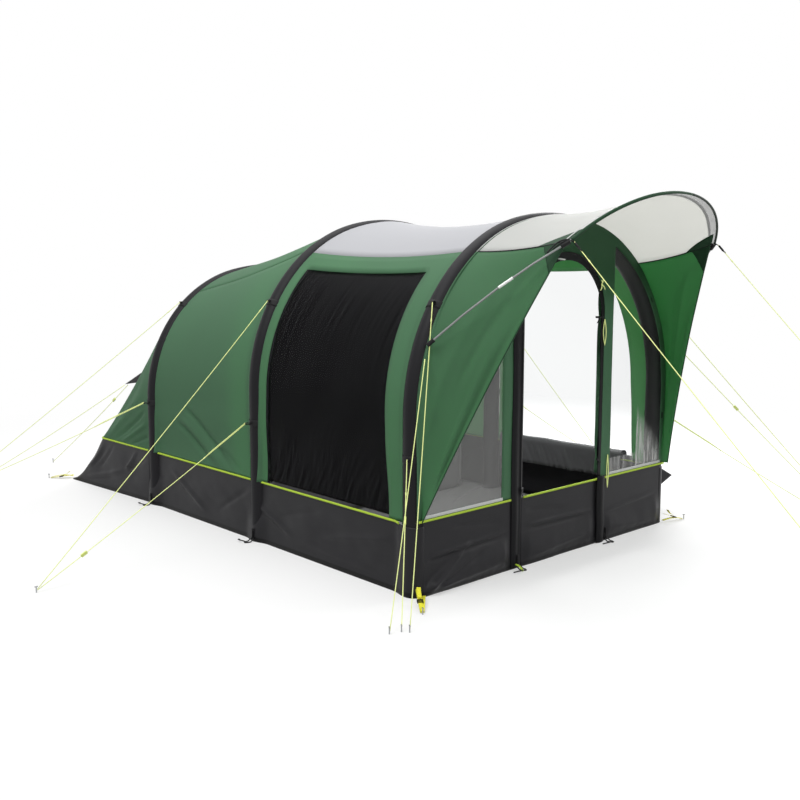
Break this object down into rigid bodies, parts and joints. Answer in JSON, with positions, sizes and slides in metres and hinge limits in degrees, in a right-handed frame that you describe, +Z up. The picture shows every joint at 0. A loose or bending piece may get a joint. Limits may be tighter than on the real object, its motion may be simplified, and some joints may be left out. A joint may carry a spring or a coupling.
{
  "type": "inflatable tunnel tent",
  "caption": "Inflatable tunnel tent with air-beam arches, hooped porch canopy, tinted side windows, black mud walls, inner bedroom and guylines pegged to the ground.",
  "frame": {"origin": "on the ground, in the middle of the floor", "axes": "+Z up, the doorway and canopy face -Y, the left side is -X"},
  "size_m": [5.399, 7.5991, 2.2221],
  "materials": {
    "sleeve_black": "satin black sleeve cloth",
    "bladder_film": "satin air-holding film",
    "valve_plastic": "matt",
    "green_cloth": "satin coated polyester",
    "grey_cloth": "satin coated polyester",
    "clear_film": "clear flexible film",
    "blind_black": "soft satin",
    "mud_black": "heavy satin coated cloth",
    "lime_piping": "woven",
    "visor_cloth": "thin, lets light through",
    "brow_mesh": "see-through band",
    "pole_grey": "satin fibreglass",
    "ferrule_white": "satin",
    "webbing_black": "woven",
    "zip_metal": "black",
    "inner_cloth": "thin breathable cloth",
    "elastic_black": "matt",
    "yellow_webbing": "woven",
    "buckle_plastic": "satin",
    "peg_steel": "galvanised",
    "guy_lime": "braided",
    "runner_plastic": "satin"
  },
  "bodies": {
    "tent": {"front_beam_sleeve": "sleeve_black", "middle_beam_sleeve": "sleeve_black", "rear_beam_sleeve": "sleeve_black", "front_air_bladder": "bladder_film", "middle_air_bladder": "bladder_film", "rear_air_bladder": "bladder_film", "valve_bodies": "valve_plastic", "living_roof_panel": "grey_cloth", "left_window_frame": "green_cloth", "right_window_frame": "green_cloth", "left_window_film": "clear_film", "right_window_film": "clear_film", "left_blind": "blind_black", "right_blind_roll": "blind_black", "rear_roof_panel": "green_cloth", "rear_left_panel": "green_cloth", "rear_right_panel": "green_cloth", "rear_end_panel": "green_cloth", "left_mud_wall": "mud_black", "right_mud_wall": "mud_black", "rear_mud_wall": "mud_black", "front_mud_wall": "mud_black", "door_threshold": "mud_black", "piping": "lime_piping", "groundsheet": "mud_black", "canopy_roof": "visor_cloth", "brow_sleeve": "brow_mesh", "left_wing": "green_cloth", "right_wing": "green_cloth", "canopy_pole": "pole_grey", "pole_ferrules": "ferrule_white", "pole_pockets": "webbing_black", "front_wall_panel": "green_cloth", "front_window_films": "clear_film", "door_roll": "green_cloth", "door_ties": "lime_piping", "door_zip_flap": "webbing_black", "door_zip_tape": "webbing_black", "rear_vent_hood": "webbing_black", "side_vent_hood": "webbing_black", "bedroom_front_wall": "inner_cloth", "bedroom_shell": "inner_cloth", "guy_tabs": "webbing_black", "peg_loops": "elastic_black", "corner_straps": "yellow_webbing", "strap_buckles": "buckle_plastic", "ground_pegs": "peg_steel", "left_guylines": "guy_lime", "right_guylines": "guy_lime", "canopy_guylines": "guy_lime"},
    "front_cap": {"front_valve_cap": "valve_plastic"},
    "middle_cap": {"middle_valve_cap": "valve_plastic"},
    "rear_cap": {"rear_valve_cap": "valve_plastic"},
    "blind_hem": {"left_blind_hem": "blind_black"},
    "zip_slider": {"door_zip_slider": "zip_metal"},
    "left_middle_runner_body": {"left_middle_runner": "runner_plastic"},
    "left_front_runner_body": {"left_front_runner": "runner_plastic"},
    "right_front_runner_body": {"right_front_runner": "runner_plastic"},
    "rear_hood_runner_body": {"rear_hood_runner": "runner_plastic"}
  },
  "joints": [
    {"name": "front_cap_hinge", "type": "hinge", "parent": "tent", "child": "front_cap", "pos_m": [-1.0792, -2.05, 0.382], "axis": [0, -1, 0], "range_deg": [0, 110]},
    {"name": "middle_cap_hinge", "type": "hinge", "parent": "tent", "child": "middle_cap", "pos_m": [-1.0492, -0.55, 0.382], "axis": [0, -1, 0], "range_deg": [0, 110]},
    {"name": "rear_cap_hinge", "type": "hinge", "parent": "tent", "child": "rear_cap", "pos_m": [-1.0332, 0.82, 0.382], "axis": [0, -1, 0], "range_deg": [0, 110]},
    {"name": "blind_drop", "type": "slide", "parent": "tent", "child": "blind_hem", "axis": [0, 0, -1], "range_m": [0, 1.1], "deforming": ["left_blind"]},
    {"name": "zip_slide", "type": "slide", "parent": "tent", "child": "zip_slider", "axis": [0, 0, 1], "range_m": [0, 1.25]},
    {"name": "left_middle_runner_slide", "type": "slide", "parent": "tent", "child": "left_middle_runner_body", "axis": [-0.8856, -0.0185, -0.4641], "range_m": [-0.1, 0.1]},
    {"name": "left_front_runner_slide", "type": "slide", "parent": "tent", "child": "left_front_runner_body", "axis": [-0.388, -0.3686, -0.8447], "range_m": [-0.07, 0.07]},
    {"name": "right_front_runner_slide", "type": "slide", "parent": "tent", "child": "right_front_runner_body", "axis": [0.3838, -0.5864, -0.7134], "range_m": [-0.1, 0.1]},
    {"name": "rear_hood_runner_slide", "type": "slide", "parent": "tent", "child": "rear_hood_runner_body", "axis": [-0.0811, 0.8252, -0.559], "range_m": [-0.1, 0.1]}
  ]
}
